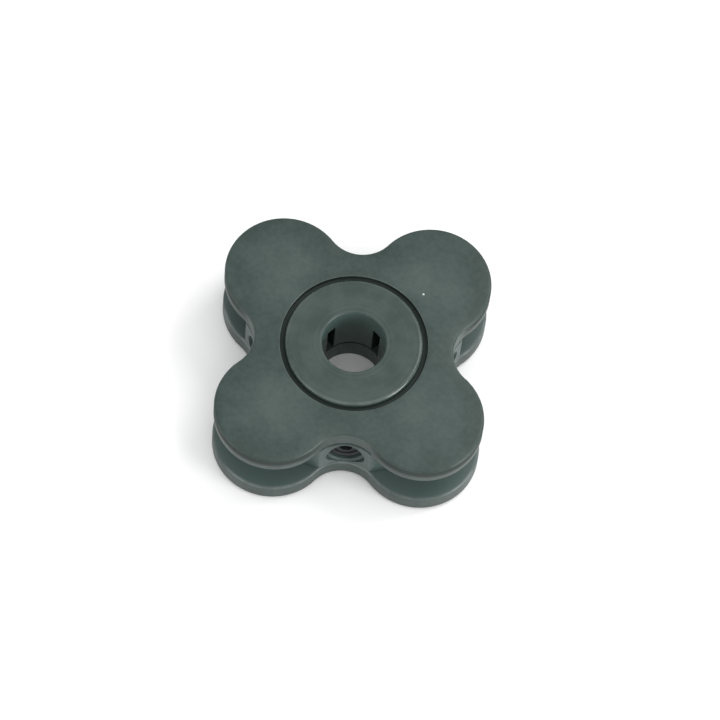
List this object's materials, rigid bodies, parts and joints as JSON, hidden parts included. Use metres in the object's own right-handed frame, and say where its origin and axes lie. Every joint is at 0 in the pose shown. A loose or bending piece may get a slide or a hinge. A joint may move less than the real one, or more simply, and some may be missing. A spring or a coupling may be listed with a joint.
{
  "type": "oldham coupling",
  "caption": "Short pin-type Oldham shaft coupling: two four-lobed black hubs with a floating disc between them, joined by crossed drive pins in bushes.",
  "frame": {"origin": "on the bore's axis, in the plane of the lower hub's outer face", "axes": "+Z along the bore from the lower hub to the upper one, X along the lower hub's drive pins, Y along the upper hub's drive pins"},
  "size_m": [0.0332, 0.0332, 0.0122],
  "materials": {
    "black_plate": "satin black anodised",
    "black_hub": "fine turned, black anodised",
    "black_disc": "satin black anodised",
    "black_polymer": "plain dark polymer",
    "black_steel": "black oxide"
  },
  "bodies": {
    "lower_hub_body": {"lower_flange": "black_plate", "lower_hub": "black_hub", "drive_pin_left": "black_steel", "drive_pin_right": "black_steel"},
    "lower_bushes": {"bush_left": "black_polymer", "bush_right": "black_polymer"},
    "disc_body": {"floating_disc": "black_disc"},
    "upper_bushes": {"bush_front": "black_polymer", "bush_back": "black_polymer"},
    "upper_hub_body": {"upper_flange": "black_plate", "upper_hub": "black_hub", "drive_pin_front": "black_steel", "drive_pin_back": "black_steel"}
  },
  "joints": [
    {"name": "slide_on_lower_pins", "type": "slide", "parent": "lower_hub_body", "child": "lower_bushes", "axis": [1, 0, 0], "range_m": [-0.0007, 0.0007]},
    {"name": "tilt_about_lower_pins", "type": "hinge", "parent": "lower_bushes", "child": "disc_body", "pos_m": [0, 0, 0.00609], "axis": [1, 0, 0], "range_deg": [-1, 1]},
    {"name": "tilt_about_upper_pins", "type": "hinge", "parent": "disc_body", "child": "upper_bushes", "pos_m": [0, 0, 0.00609], "axis": [0, 1, 0], "range_deg": [-1, 1]},
    {"name": "slide_on_upper_pins", "type": "slide", "parent": "upper_bushes", "child": "upper_hub_body", "axis": [0, 1, 0], "range_m": [-0.0007, 0.0007]}
  ]
}
